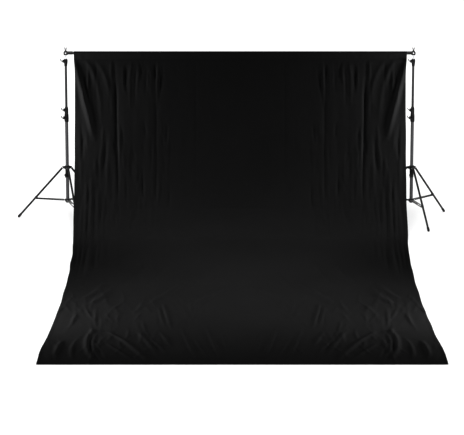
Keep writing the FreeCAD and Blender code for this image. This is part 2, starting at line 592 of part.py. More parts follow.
def wing_nut():
    top = WING_NUT_SEAT + WING_NUT_RISE + WING_NUT_NECK
    neck_top = WING_NUT_SEAT + WING_NUT_NECK
    waist = WING_NUT_NECK_RADIUS
    neck = rod(waist, point(0, 0, WING_NUT_SEAT), point(0, 0, neck_top + WING_NUT_TIP))
    notch = top - WING_NUT_NOTCH
    shoulder = top - WING_NUT_TIP
    tip = WING_NUT_SPREAD - WING_NUT_TIP_WIDTH
    outline = [(-waist, neck_top), (waist, neck_top), (WING_NUT_SPREAD, shoulder), (tip, top),
               (waist, notch), (-waist, notch), (-tip, top), (-WING_NUT_SPREAD, shoulder)]
    nut = neck.fuse(plate(outline, WING_NUT_THICKNESS))
    bore = rod(THREAD_RADIUS + THREAD_FIT, point(0, 0, WING_NUT_SEAT - 1), point(0, 0, top + 1))
    return nut.cut(bore)


def end_fitting(side):
    """Moulded eye on the post's stud, with a sleeve towards the bar; side is +1 at the left post."""
    depth = 2 * END_HEAD_HALF_DEPTH
    head = round_plate(0, CROSSBAR_HEIGHT, END_HEAD_RADIUS, depth)
    base = block((-END_BASE_HALF_WIDTH, -END_HEAD_HALF_DEPTH, STUD_SEAT),
                 (END_BASE_HALF_WIDTH, END_HEAD_HALF_DEPTH, CROSSBAR_HEIGHT))
    sleeve = rod(SLEEVE_RADIUS, point(side * SLEEVE_START, 0, CROSSBAR_HEIGHT),
                 point(side * SLEEVE_END, 0, CROSSBAR_HEIGHT))
    body = fused([head, base, sleeve])
    top = CROSSBAR_HEIGHT + END_HEAD_RADIUS
    body = body.cut(rod(THREAD_RADIUS + END_BORE_GAP, point(0, 0, STUD_SEAT - 1), point(0, 0, top + 1)))
    socket = rod(CROSSBAR_RADIUS, point(side * TUBE_IN_SLEEVE, 0, CROSSBAR_HEIGHT),
                 point(side * (SLEEVE_END + 1), 0, CROSSBAR_HEIGHT))
    screw_hole = rod(SET_SCREW_RADIUS, point(0, -END_HEAD_HALF_DEPTH - 1, CROSSBAR_HEIGHT),
                     point(0, -SET_SCREW_DEPTH, CROSSBAR_HEIGHT))
    seat = block((-NUT_SEAT_HALF_WIDTH, -NUT_SEAT_HALF_WIDTH, top - NUT_SEAT_DEPTH),
                 (NUT_SEAT_HALF_WIDTH, NUT_SEAT_HALF_WIDTH, top + NUT_SEAT_DEPTH))
    return body.cut(socket).cut(screw_hole).cut(seat)


def set_screw():
    front = -END_HEAD_HALF_DEPTH - PRESS_GAP
    head = rod(SET_SCREW_HEAD_RADIUS, point(0, front - SET_SCREW_HEAD, CROSSBAR_HEIGHT),
               point(0, front, CROSSBAR_HEIGHT))
    shank = rod(SET_SCREW_RADIUS - PRESS_GAP, point(0, front, CROSSBAR_HEIGHT),
                point(0, -SET_SCREW_DEPTH, CROSSBAR_HEIGHT))
    return head.fuse(shank)


def bar_pipe(outer, inner, low, high):
    """Level tube on the crossbar's axis."""
    axis_from = point(low, 0, CROSSBAR_HEIGHT)
    axis_to = point(high, 0, CROSSBAR_HEIGHT)
    return rod(outer, axis_from, axis_to).cut(rod(inner, axis_from - X_AXIS, axis_to + X_AXIS))


def crossbar_section(index):
    """Tube of the crossbar; all but the last carry a plug that fits the next one."""
    start = -POST_SPACING / 2 + TUBE_IN_SLEEVE + BAR_END_GAP
    step = -2 * start / CROSSBAR_SECTIONS
    low = start + index * step
    high = low + step - BAR_JOINT_GAP
    bar_bore = CROSSBAR_RADIUS - WALL
    tube = bar_pipe(CROSSBAR_RADIUS, bar_bore, low, high)
    if index == CROSSBAR_SECTIONS - 1:
        return tube
    plug_radius = bar_bore - PLUG_GAP
    plug_bore = plug_radius - WALL
    root = bar_pipe(bar_bore, plug_bore, high - PLUG_LENGTH / 2, high)
    plug = bar_pipe(plug_radius, plug_bore, high - WALL, high + PLUG_LENGTH)
    return fused([tube, root, plug])


# ---- backdrop cloth ----
def drape_point(share):
    """Middle line of the hanging cloth, 0 where it meets the floor and 1 at the pocket."""
    drop = CROSSBAR_HEIGHT - POCKET_RADIUS - CLOTH_THICKNESS / 2
    span = DRAPE_CURVE * math.acosh(1 + drop / DRAPE_CURVE)
    along = span * share
    height = DRAPE_CURVE * (math.cosh(along / DRAPE_CURVE) - 1)
    return along - span, height


def hanging_cloth():
    """Cloth from the rod pocket down to the floor, one even thickness along its curve."""
    line = [drape_point(index / DRAPE_STEPS) for index in range(DRAPE_STEPS + 1)]
    upper = []
    lower = []
    for y, z in line:
        slope = math.atan(math.sinh((y - line[0][0]) / DRAPE_CURVE))
        side_y = -math.sin(slope) * CLOTH_THICKNESS / 2
        side_z = math.cos(slope) * CLOTH_THICKNESS / 2
        upper.append((y + side_y, z + CLOTH_THICKNESS / 2 + side_z))
        lower.append((y - side_y, z + CLOTH_THICKNESS / 2 - side_z))
    corners = [point(CLOTH_LEFT, y, z) for y, z in lower + upper[::-1]]
    face = Part.Face(Part.makePolygon(corners + [corners[0]]))
    sheet = face.extrude(point(CLOTH_RIGHT - CLOTH_LEFT, 0, 0))
    axis_from = point(CLOTH_LEFT, 0, CROSSBAR_HEIGHT)
    axis_to = point(CLOTH_RIGHT, 0, CROSSBAR_HEIGHT)
    pocket = rod(POCKET_RADIUS + CLOTH_THICKNESS, axis_from, axis_to)
    inside = rod(POCKET_RADIUS, axis_from - X_AXIS, axis_to + X_AXIS)
    return sheet.fuse(pocket).cut(inside)


def floor_cloth():
    """Cloth that lies on the floor, pulled in a little between the drape and the front edge."""
    back = drape_point(0)[0]
    corners = []
    for edge, side in ((CLOTH_LEFT, 1), (CLOTH_RIGHT, -1)):
        inset = edge + side * CLOTH_NARROWING
        run = [point(edge, back, 0), point(inset, CLOTH_NARROWEST, 0), point(edge, CLOTH_FRONT, 0)]
        corners.append(run)
    left, right = corners
    edges = [Part.Arc(*left).toShape(), Part.makeLine(left[2], right[2]),
             Part.Arc(*right[::-1]).toShape(), Part.makeLine(right[0], left[0])]
    face = Part.Face(Part.Wire(edges))
    return face.extrude(point(0, 0, CLOTH_THICKNESS))


# ---- write every node ----
os.makedirs("parts", exist_ok=True)

for stand, post_x in STANDS:
    tube_1 = pipe(BASE_RADIUS, BASE_RADIUS - WALL, BASE_BOTTOM, BASE_TOP)
    save(stand + "_base_tube", moved(tube_1, x=post_x))
    save(stand + "_base_collar", moved(base_collar(), x=post_x))
    save(stand + "_brace_hub", moved(brace_hub(), x=post_x))
    save(stand + "_leg_collar", moved(leg_collar(), x=post_x))
    save(stand + "_leg_collar_knob", moved(leg_knob(), x=post_x))

    tube_2 = guided_tube(SECTION_2_RADIUS, BASE_RADIUS, SECTION_2_BOTTOM, SECTION_2_TOP)
    tube_3 = guided_tube(SECTION_3_RADIUS, SECTION_2_RADIUS, SECTION_3_BOTTOM, SECTION_3_TOP)
    tube_4 = guided_tube(SECTION_4_RADIUS, SECTION_3_RADIUS, SECTION_4_BOTTOM, SECTION_4_TOP)
    save(stand + "_section_2_tube", moved(tube_2, x=post_x))
    save(stand + "_section_3_tube", moved(tube_3, x=post_x))
    save(stand + "_section_4_tube", moved(tube_4, x=post_x))
    save(stand + "_section_2_collar", moved(section_2_collar(), x=post_x))
    save(stand + "_section_3_collar", moved(section_3_collar(), x=post_x))
    save(stand + "_stud", moved(stud(), x=post_x))
    save(stand + "_wing_nut", moved(wing_nut(), x=post_x))

    for name, lug_z, radius in (("base", BASE_KNOB_HEIGHT, BASE_COLLAR_RADIUS),
                                ("section_2", SECTION_2_KNOB_HEIGHT, SECTION_2_COLLAR_RADIUS),
                                ("section_3", SECTION_3_KNOB_HEIGHT, SECTION_3_COLLAR_RADIUS)):
        knob = clamp_knob(radius + LUG_STANDOFF, lug_z, radius)
        save(stand + "_" + name + "_knob", moved(knob, x=post_x))

    leg_pins = []
    for name, heading in headings():
        save(stand + "_leg_" + name, on_leg(leg(), heading, post_x))
        save(stand + "_foot_" + name, floor_cut(on_leg(foot(), heading, post_x)))
        lifted = moved(brace(), x=HUB_PIVOT_RADIUS, z=HUB_PIVOT_HEIGHT)
        save(stand + "_brace_" + name, on_heading(lifted, heading, post_x))
        pin = pivot_pin(TANG_HALF_WIDTH + SIDE_GAP + EAR_THICKNESS)
        leg_pins.append(on_heading(moved(pin, x=LEG_PIVOT_RADIUS, z=LEG_PIVOT_HEIGHT), heading, post_x))
    save(stand + "_leg_pins", *leg_pins)

hub_pins = []
end_caps = []
fittings = []
screws = []
for stand, post_x in STANDS:
    side = 1 if post_x < 0 else -1
    for name, heading in headings():
        pin = moved(pivot_pin(BRACE_OUTER), x=HUB_PIVOT_RADIUS, z=HUB_PIVOT_HEIGHT)
        hub_pins.append(on_heading(pin, heading, post_x))
    cap = rod(BASE_RADIUS, point(0, 0, BASE_BOTTOM - CAP_FLANGE), point(0, 0, BASE_BOTTOM - PRESS_GAP))
    plug = rod(BASE_RADIUS - WALL - PRESS_GAP, point(0, 0, BASE_BOTTOM - PRESS_GAP),
               point(0, 0, BASE_BOTTOM + CAP_PLUG))
    end_caps.append(moved(cap.fuse(plug), x=post_x))
    fittings.append(moved(end_fitting(side), x=post_x))
    screws.append(moved(set_screw(), x=post_x))
save("brace_hub_pins", *hub_pins)
save("base_end_caps", *end_caps)
save("crossbar_end_fittings", *fittings)
save("crossbar_set_screws", *screws)

for index in range(CROSSBAR_SECTIONS):
    save("crossbar_section_" + str(index + 1), crossbar_section(index))

save("backdrop_hanging", hanging_cloth())
save("backdrop_on_floor", floor_cloth())

print("leg length", round(LEG_LENGTH, 2), "angle", round(LEG_ANGLE, 3))
print("brace length", round(BRACE_LENGTH, 2), "fold travel", round(FOLD_TRAVEL, 3))
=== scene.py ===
# %% [markdown]
# # A backdrop stand, from bare frame to finished picture
# The object is two telescopic tripod stands, a crossbar on their studs, and a black muslin
# cloth that hangs from the bar and sweeps forward over the floor. The metal and moulded
# parts come ready-made from the CAD frame. This lesson gives them their finishes, softens
# their sharp edges, and makes the cloth, which is the largest and hardest piece.

# %% Load the frame
import json
import math
import random

import bmesh
import bpy
import numpy as np
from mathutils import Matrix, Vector, noise


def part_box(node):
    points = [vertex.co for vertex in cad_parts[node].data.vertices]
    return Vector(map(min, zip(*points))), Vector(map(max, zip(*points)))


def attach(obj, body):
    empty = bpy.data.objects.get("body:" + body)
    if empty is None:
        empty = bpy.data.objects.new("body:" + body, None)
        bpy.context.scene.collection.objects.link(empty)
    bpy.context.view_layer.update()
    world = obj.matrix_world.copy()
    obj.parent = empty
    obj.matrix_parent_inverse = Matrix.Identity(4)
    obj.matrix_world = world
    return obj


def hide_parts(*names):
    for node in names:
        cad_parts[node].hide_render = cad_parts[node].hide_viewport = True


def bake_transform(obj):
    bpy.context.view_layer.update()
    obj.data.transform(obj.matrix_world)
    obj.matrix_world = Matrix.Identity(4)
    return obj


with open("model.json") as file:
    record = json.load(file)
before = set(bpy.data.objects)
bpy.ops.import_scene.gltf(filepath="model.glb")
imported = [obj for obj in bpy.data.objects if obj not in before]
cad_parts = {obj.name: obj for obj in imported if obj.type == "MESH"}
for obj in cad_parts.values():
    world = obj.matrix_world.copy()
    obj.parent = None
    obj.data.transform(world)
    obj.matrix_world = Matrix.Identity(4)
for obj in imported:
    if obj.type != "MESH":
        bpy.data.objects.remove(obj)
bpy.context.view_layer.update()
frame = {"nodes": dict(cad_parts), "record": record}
nodes = frame["nodes"]

# %% [markdown]
# ## The camera
# A long lens far away keeps the two posts almost parallel. The camera looks slightly down,
# so the cloth on the floor shows as a wide skirt. It is made first, because every later
# decision is judged through it.

# %% Camera
CAMERA_PLACE = (-0.067, -22.474, 5.200)
CAMERA_DOWN = math.radians(12.97)
SENSOR_WIDTH = 36.0
LENS = 198.5

camera_data = bpy.data.cameras.new("camera")
camera_data.sensor_width = SENSOR_WIDTH
camera_data.lens = LENS
camera_data.clip_end = 200.0
camera = bpy.data.objects.new("camera", camera_data)
camera.location = CAMERA_PLACE
camera.rotation_euler = (math.pi / 2 - CAMERA_DOWN, 0.0, 0.0)
bpy.context.scene.collection.objects.link(camera)
bpy.context.scene.camera = camera
print("camera at", CAMERA_PLACE, "lens", LENS)

# %% [markdown]
# ## Light and floor
# Studio catalogue light is large and soft: a bright even sky and one broad key from the
# front and above. The side and overhead lamps are for the cloth alone; a later cell links
# them to it. The floor is a plain pale sheet just under the feet.

# %% Lights and floor
SKY_STRENGTH = 0.74
KEY_STRENGTH = 1.7
PANEL_POWER = 150.0
FLOOR_LIGHT_POWER = 190.0
OVERHEAD_POWER = 120.0
KEY_ANGLE = 0.6
KEY_TURN = (math.radians(58), math.radians(-5), 0.0)
SIDE_LAMP_OUT = 3.1
PANEL_SIZE = 0.5
FLOOR_LIGHT_SIZE = 0.4
OVERHEAD_SIZE = 2.2
FLOOR_SIZE = 140.0
FLOOR_DROP = 0.0015


def soft_light(name, place, aim, size, power, spread=180):
    """A square area light that points from place to aim; its spread is in degrees."""
    data = bpy.data.lights.new(name, "AREA")
    data.size = size
    data.energy = power
    data.spread = math.radians(spread)
    lamp = bpy.data.objects.new(name, data)
    lamp.location = place
    lamp.visible_camera = False
    lamp.rotation_euler = (Vector(aim) - Vector(place)).to_track_quat("-Z", "Y").to_euler()
    bpy.context.scene.collection.objects.link(lamp)
    return lamp


world = bpy.data.worlds.new("studio")
bpy.context.scene.world = world
world.use_nodes = True
world.node_tree.nodes["Background"].inputs["Color"].default_value = (1.0, 1.0, 1.0, 1.0)
world.node_tree.nodes["Background"].inputs["Strength"].default_value = SKY_STRENGTH
bpy.context.scene.view_settings.view_transform = "Standard"
bpy.context.scene.view_settings.look = "High Contrast"

cloth_lights = []
for side, name in ((-1, "left"), (1, "right")):
    cloth_lights += [
        soft_light("panel_" + name, (side * SIDE_LAMP_OUT, -0.46, 1.20), (side * 1.0, 0.0, 1.1),
                   PANEL_SIZE, PANEL_POWER, spread=95),
        soft_light("floor_light_" + name, (side * SIDE_LAMP_OUT, -3.45, 0.42), (side * 1.2, -3.45, 0.0),
                   FLOOR_LIGHT_SIZE, FLOOR_LIGHT_POWER, spread=92),
    ]

cloth_lights.append(soft_light("overhead", (0.0, -2.5, 2.7), (0.0, -2.3, 0.0),
                               OVERHEAD_SIZE, OVERHEAD_POWER, spread=100))

sun_data = bpy.data.lights.new("sky_key", "SUN")
sun_data.energy = KEY_STRENGTH
sun_data.angle = KEY_ANGLE
sun = bpy.data.objects.new("sky_key", sun_data)
sun.rotation_euler = KEY_TURN
bpy.context.scene.collection.objects.link(sun)

bpy.ops.mesh.primitive_plane_add(size=FLOOR_SIZE, location=(0.0, 0.0, -FLOOR_DROP))
floor = bpy.context.object
floor.name = "floor"

# %% [markdown]
# ## A few helpers for materials
# Every material starts from the Principled shader. The helpers below add nodes and wire
# them in one line each, so a material's own cell shows only its idea. Effects that several
# finishes share are node groups with named sockets.


# %% Node helpers
def add_node(tree, kind, inputs=None, **settings):
    """Adds a node, sets its properties, and fills or wires its inputs."""
    node = tree.nodes.new(kind)
    for name, value in settings.items():
        setattr(node, name, value)
    for name, value in (inputs or {}).items():
        socket = node.inputs[name]
        if isinstance(value, bpy.types.NodeSocket):
            tree.links.new(value, socket)
        else:
            socket.default_value = value
    return node


def ramp(tree, value, low, high, dark=(0.0, 0.0, 0.0, 1.0), light=(1.0, 1.0, 1.0, 1.0)):
    """A colour ramp between two positions."""
    node = add_node(tree, "ShaderNodeValToRGB", {"Fac": value})
    node.color_ramp.elements[0].position = low
    node.color_ramp.elements[1].position = high
    node.color_ramp.elements[0].color = dark
    node.color_ramp.elements[1].color = light
    return node.outputs["Color"]


def math_node(tree, operation, first, second):
    node = add_node(tree, "ShaderNodeMath", operation=operation)
    for index, value in enumerate((first, second)):
        if isinstance(value, bpy.types.NodeSocket):
            tree.links.new(value, node.inputs[index])
        else:
            node.inputs[index].default_value = value
    return node.outputs[0]


def mixed(tree, factor, first, second):
    """Mixes two colours by a factor that changes over the surface."""
    node = add_node(tree, "ShaderNodeMix", data_type="RGBA")
    tree.links.new(factor, node.inputs["Factor"])
    for socket, value in ((node.inputs["A"], first), (node.inputs["B"], second)):
        if isinstance(value, bpy.types.NodeSocket):
            tree.links.new(value, socket)
        else:
            socket.default_value = value
    return node.outputs["Result"]


def new_group(name, inputs, outputs):
    """A shader node group with float inputs and the given outputs."""
    tree = bpy.data.node_groups.new(name, "ShaderNodeTree")
    for label, value in inputs.items():
        socket = tree.interface.new_socket(label, in_out="INPUT", socket_type="NodeSocketFloat")
        socket.default_value = value
    for label, kind in outputs.items():
        tree.interface.new_socket(label, in_out="OUTPUT", socket_type=kind)
    start = tree.nodes.new("NodeGroupInput")
    end = tree.nodes.new("NodeGroupOutput")
    return tree, start.outputs, end.inputs


def use_group(tree, group, **inputs):
    node = tree.nodes.new("ShaderNodeGroup")
    node.node_tree = group
    for label, value in inputs.items():
        node.inputs[label.replace("_", " ")].default_value = value
    return node.outputs


def new_material(name, **constants):
    """A Principled material; constants are set on the shader's own sockets."""
    material = bpy.data.materials.new(name)
    material.use_nodes = True
    shader = material.node_tree.nodes["Principled BSDF"]
    for label, value in constants.items():
        shader.inputs[label.replace("_", " ")].default_value = value
    return material, material.node_tree, shader


# %% [markdown]
# ## Shared effects
# Three effects turn up on several finishes. Grain is the fine unevenness of a coated or
# moulded skin. Scuff is the patchy rubbing that a stand gets in its bag. Dust is the pale
# film that settles on faces that look up.


# %% Grain, scuff and dust groups
def make_grain_group():
    tree, given, out = new_group(
        "grain", {"Scale": 900.0, "Patch Scale": 14.0},
        {"Height": "NodeSocketFloat", "Patch": "NodeSocketFloat"})
    place = add_node(tree, "ShaderNodeTexCoord").outputs["Object"]
    fine = add_node(tree, "ShaderNodeTexNoise", {"Vector": place, "Scale": given["Scale"],
                                                 "Detail": 2.0, "Roughness": 0.6})
    patch = add_node(tree, "ShaderNodeTexNoise", {"Vector": place, "Scale": given["Patch Scale"],
                                                  "Detail": 3.0})
    tree.links.new(fine.outputs["Fac"], out["Height"])
    tree.links.new(patch.outputs["Fac"], out["Patch"])
    return tree


def make_scuff_group():
    tree, given, out = new_group(
        "scuff", {"Scale": 40.0, "Amount": 0.5}, {"Mask": "NodeSocketFloat"})
    place = add_node(tree, "ShaderNodeTexCoord").outputs["Object"]
    stretch = add_node(tree, "ShaderNodeMapping", {"Vector": place, "Scale": (1.0, 1.0, 0.12)})
    streaks = add_node(tree, "ShaderNodeTexNoise", {"Vector": stretch.outputs["Vector"],
                                                    "Scale": given["Scale"], "Detail": 6.0,
                                                    "Roughness": 0.75})
    thin = ramp(tree, streaks.outputs["Fac"], 0.60, 0.72)
    edge = add_node(tree, "ShaderNodeNewGeometry").outputs["Pointiness"]
    sharp = ramp(tree, edge, 0.52, 0.60)
    both = math_node(tree, "MAXIMUM", math_node(tree, "MULTIPLY", thin, 0.5), sharp)
    tree.links.new(math_node(tree, "MULTIPLY", both, given["Amount"]), out["Mask"])
    return tree


def make_dust_group():
    tree, given, out = new_group("dust", {"Amount": 0.3, "Scale": 60.0}, {"Mask": "NodeSocketFloat"})
    up = add_node(tree, "ShaderNodeSeparateXYZ",
                  {"Vector": add_node(tree, "ShaderNodeNewGeometry").outputs["Normal"]}).outputs["Z"]
    facing = ramp(tree, up, 0.35, 1.0)
    place = add_node(tree, "ShaderNodeTexCoord").outputs["Object"]
    specks = add_node(tree, "ShaderNodeTexNoise", {"Vector": place, "Scale": given["Scale"],
                                                   "Detail": 5.0, "Roughness": 0.7})
    clumps = ramp(tree, specks.outputs["Fac"], 0.42, 0.75)
    mask = math_node(tree, "MULTIPLY", facing, clumps)
    tree.links.new(math_node(tree, "MULTIPLY", mask, given["Amount"]), out["Mask"])
    return tree


grain_group = make_grain_group()
scuff_group = make_scuff_group()
dust_group = make_dust_group()
print("groups:", [g.name for g in bpy.data.node_groups])

# %% [markdown]
# ## Finishes of the stands
# Tubes and legs are powder coated: a satin skin with faint orange peel. Collars, knobs and
# end fittings are moulded nylon, duller and more finely textured. The studs and pins are
# plated, so they only need small changes of roughness to look handled.

# %% Coated, moulded, plated and rubber finishes
DUST_COLOUR = (0.09, 0.088, 0.085, 1.0)
EDGE_SOFTNESS = 0.0007


def rounded_bump(tree, shader, height, strength, distance):
    """Bump for a shader, over normals that round the sharp edges a little."""
    rounded = add_node(tree, "ShaderNodeBevel", {"Radius": EDGE_SOFTNESS}, samples=4)
    bump = add_node(tree, "ShaderNodeBump", {"Height": height, "Strength": strength, "Distance": distance,
                                             "Normal": rounded.outputs["Normal"]})
    tree.links.new(bump.outputs["Normal"], shader.inputs["Normal"])


def coated_metal(name, colour, worn, roughness, peel, dust):
    """Powder coat or paint, with scuffs that show a lighter layer under it."""
    material, tree, shader = new_material(name, Specular_IOR_Level=0.28, Coat_Roughness=0.3)
    grain = use_group(tree, grain_group, Scale=700.0, Patch_Scale=9.0)
    scuff = use_group(tree, scuff_group, Scale=55.0, Amount=0.55)
    film = use_group(tree, dust_group, Amount=dust, Scale=45.0)
    darker = tuple(0.8 * c for c in colour[:3]) + (1.0,)
    skin = mixed(tree, grain["Patch"], darker, colour)
    rubbed = mixed(tree, scuff["Mask"], skin, worn)
    tree.links.new(mixed(tree, film["Mask"], rubbed, DUST_COLOUR), shader.inputs["Base Color"])
    rough = add_node(tree, "ShaderNodeMapRange", {"Value": grain["Patch"], "From Min": 0.3, "From Max": 0.7,
                                                  "To Min": roughness - 0.07, "To Max": roughness + 0.08})
    tree.links.new(rough.outputs["Result"], shader.inputs["Roughness"])
    rounded_bump(tree, shader, grain["Height"], peel, 0.0004)
    return material


def moulded_nylon(name, colour, roughness):
    material, tree, shader = new_material(name, Specular_IOR_Level=0.25)
    grain = use_group(tree, grain_group, Scale=1500.0, Patch_Scale=30.0)
    scuff = use_group(tree, scuff_group, Scale=90.0, Amount=0.35)
    film = use_group(tree, dust_group, Amount=0.25, Scale=80.0)
    lighter = tuple(1.5 * c for c in colour[:3]) + (1.0,)
    skin = mixed(tree, grain["Patch"], colour, lighter)
    rubbed = mixed(tree, scuff["Mask"], skin, (0.05, 0.05, 0.05, 1.0))
    tree.links.new(mixed(tree, film["Mask"], rubbed, DUST_COLOUR), shader.inputs["Base Color"])
    rough = add_node(tree, "ShaderNodeMapRange", {"Value": grain["Patch"], "From Min": 0.3, "From Max": 0.7,
                                                  "To Min": roughness - 0.05, "To Max": roughness + 0.1})
    tree.links.new(rough.outputs["Result"], shader.inputs["Roughness"])
    rounded_bump(tree, shader, grain["Height"], 0.5, 0.0003)
    return material


def plated_steel(name, colour):
    material, tree, shader = new_material(name, Metallic=1.0)
    grain = use_group(tree, grain_group, Scale=400.0, Patch_Scale=60.0)
    film = use_group(tree, dust_group, Amount=0.15, Scale=90.0)
    dull = tuple(0.75 * c for c in colour[:3]) + (1.0,)
    skin = mixed(tree, grain["Patch"], colour, dull)
    tree.links.new(mixed(tree, film["Mask"], skin, DUST_COLOUR), shader.inputs["Base Color"])
    rough = add_node(tree, "ShaderNodeMapRange", {"Value": grain["Patch"], "From Min": 0.3, "From Max": 0.7,
                                                  "To Min": 0.10, "To Max": 0.30})
    tree.links.new(rough.outputs["Result"], shader.inputs["Roughness"])
    rounded_bump(tree, shader, grain["Height"], 0.08, 0.0002)
    return material


finishes = {
    "tube_grey": coated_metal("grey_powder_coat", (0.024, 0.024, 0.025, 1.0), (0.12, 0.12, 0.125, 1.0),
                              0.42, 0.35, 0.15),
    "leg_black": coated_metal("black_powder_coat", (0.006, 0.006, 0.0065, 1.0), (0.07, 0.07, 0.075, 1.0),
                              0.38, 0.35, 0.12),
    "brace_black": coated_metal("black_brace_paint", (0.006, 0.006, 0.0065, 1.0), (0.08, 0.08, 0.08, 1.0),
                                0.36, 0.2, 0.10),
    "bar_black": coated_metal("black_bar_coat", (0.007, 0.007, 0.0075, 1.0), (0.09, 0.09, 0.09, 1.0),
                              0.38, 0.3, 0.10),
    "nut_black": coated_metal("black_cast_coat", (0.005, 0.005, 0.005, 1.0), (0.14, 0.14, 0.14, 1.0),
                              0.45, 0.6, 0.05),
    "moulded_black": moulded_nylon("black_moulded_nylon", (0.006, 0.006, 0.0063, 1.0), 0.52),
    "rubber_black": moulded_nylon("black_rubber", (0.006, 0.006, 0.006, 1.0), 0.78),
    "plated": plated_steel("bright_plate", (0.78, 0.78, 0.80, 1.0)),
}
print("finishes:", sorted(finishes))

# %% [markdown]
# ## Dressing the CAD nodes
# The record gives each CAD node one material slot. The object made from it keeps its mesh,
# and only its material changes.

# %% Put the finishes on the nodes
slot_of_node = {part["node"]: part["material_slot"] for part in frame["record"]["subparts"]}


def dress(obj, slot_name):
    """Replaces an object's materials by the finish of one slot."""
    obj.data.materials.clear()
    obj.data.materials.append(finishes[slot_name])


for name, node in nodes.items():
    if slot_of_node.get(name) in finishes:
        dress(node, slot_of_node[name])
print("dressed:", sum(1 for n in nodes if slot_of_node.get(n) in finishes), "of", len(nodes))

# %% [markdown]
# ## The line of the cloth
# Seen from the side, the muslin drops from the bar, swings forward, and meets the floor in
# a long easy curve: a hanging chain's line, which is what a heavy sheet takes. Each point
# is found from its distance along the sheet, so cloth is never stretched by the modelling.
# Distances are counted from where the sheet touches down: up the hanging part they are
# positive, and out over the floor they are negative.

# %% Cloth sizes and its side line
DRAPE_CURVE = 0.35
BAR_NODE = "crossbar_section_2"
SEAM_BELOW_BAR = 0.058
FLAT_WIDTH = 3.0
COLUMNS = 320
ROW_STEP_HANGING = 0.0125
ROW_STEP_FLOOR = 0.019
CLOTH_LIFT = 0.0006

bar_low, bar_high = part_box(BAR_NODE)
bar_height = (bar_low.z + bar_high.z) / 2
bar_radius = (bar_high.z - bar_low.z) / 2
hang_low, hang_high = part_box("backdrop_hanging")
floor_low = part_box("backdrop_on_floor")[0]
drape_drop = bar_height - bar_radius - 0.003
drape_span = DRAPE_CURVE * math.acosh(1 + drape_drop / DRAPE_CURVE)
top_distance = math.sqrt((DRAPE_CURVE + drape_drop) ** 2 - DRAPE_CURVE ** 2)
front_distance = floor_low.y + drape_span


def side_line(distance):
    """y, z and the tilt of the sheet at a distance from touch-down."""
    up = np.maximum(distance, 0.0)
    y = -drape_span + DRAPE_CURVE * np.arcsinh(up / DRAPE_CURVE) + np.minimum(distance, 0.0)
    z = np.sqrt(DRAPE_CURVE ** 2 + up ** 2) - DRAPE_CURVE
    return y, z, np.arctan2(up, DRAPE_CURVE)


seam_distance = top_distance - (SEAM_BELOW_BAR - bar_radius)
print("hanging part", round(top_distance, 3), "m, floor part", round(-front_distance, 3), "m")

# %% [markdown]
# ## The folds
# The sheet carries the record of how it was packed and hung. It was folded into panels, so
# a grid of creases crosses it. It is drawn tight to its two top corners, so long folds run
# down and inwards from them. Lower down it is slack: it ripples beside the edges, folds run
# outwards over the floor, and the front lies in many small waves. The cloth is much the
# same left and right, so the folds are laid out by their distance from the middle.
# Each fold is a curve through three points with a rounded ridge or valley along it.

# %% Fold helpers
SHEET_MIDDLE = (hang_low.x + hang_high.x) / 2
FOLD_STEPS = 10


def bell(value, width):
    return np.exp(-(value / width) ** 2)


def ease(value, start, end):
    """0 before start, 1 after end, and smooth between."""
    share = np.clip((value - start) / (end - start), 0.0, 1.0)
    return share * share * (3 - 2 * share)


def wander(x, y, scale_x, scale_y, seed):
    """Smooth noise over the sheet, about -1 to 1; a fixed seed gives a fixed pattern."""
    points = zip((x * scale_x).ravel(), (y * scale_y).ravel())
    values = [noise.noise(Vector((a, b, seed))) for a, b in points]
    return np.array(values).reshape(x.shape)


def fold(height, out, distance, start, through, end, width, size, sharp=2.0):
    """Adds one ridge (or valley, if size is negative) along a curve through three points."""
    curve = np.linspace(0.0, 1.0, FOLD_STEPS + 1)[:, None]
    start, through, end = (np.array(p) for p in (start, through, end))
    control = 2 * through - (start + end) / 2
    line = start * (1 - curve) ** 2 + control * 2 * curve * (1 - curve) + end * curve ** 2
    reach = 3.2 * width
    low, high = line.min(axis=0) - reach, line.max(axis=0) + reach
    near = (out > low[0]) & (out < high[0]) & (distance > low[1]) & (distance < high[1])
    points = np.stack([out[near], distance[near]], axis=-1)
    best = np.full(len(points), np.inf)
    place = np.zeros(len(points))
    for index in range(FOLD_STEPS):
        base, step = line[index], line[index + 1] - line[index]
        share = np.clip(((points - base) @ step) / (step @ step), 0.0, 1.0)
        gap = np.linalg.norm(points - base - share[:, None] * step, axis=1)
        closer = gap < best
        best[closer] = gap[closer]
        place[closer] = (index + share[closer]) / FOLD_STEPS
    body = np.sin(np.pi * np.clip(place, 0.02, 0.98)) ** 0.6
    height[near] += size * body * np.exp(-(best / width) ** sharp)


# %% Folds of the hanging part, from the middle outwards and down from the bar
CORNER_FOLDS = (((1.478, 1.800), (1.385, 1.420), (1.300, 1.080), 0.024, 0.0200),
                ((1.400, 1.815), (1.280, 1.580), (1.235, 1.20), 0.022, 0.0060),
                ((1.300, 1.800), (1.190, 1.600), (1.150, 1.35), 0.020, 0.0040))
EDGE_ROLL = 0.015
PANEL_CREASES = (((1.121, 1.80), (1.097, 1.06), (1.074, 0.32), 0.012, -0.0100),
                 ((1.074, 0.34), (1.040, -0.70), (0.978, -1.75), 0.011, -0.0035),
                 ((0.747, 1.80), (0.748, 1.06), (0.740, 0.32), 0.010, -0.0050),
                 ((0.740, 0.34), (0.715, -0.70), (0.680, -1.70), 0.010, -0.0018),
                 ((0.392, 1.80), (0.393, 1.06), (0.388, 0.32), 0.009, -0.0026))
LEVEL_CREASES = (1.423, 0.932, 0.44, -2.054, -2.54, -3.03)


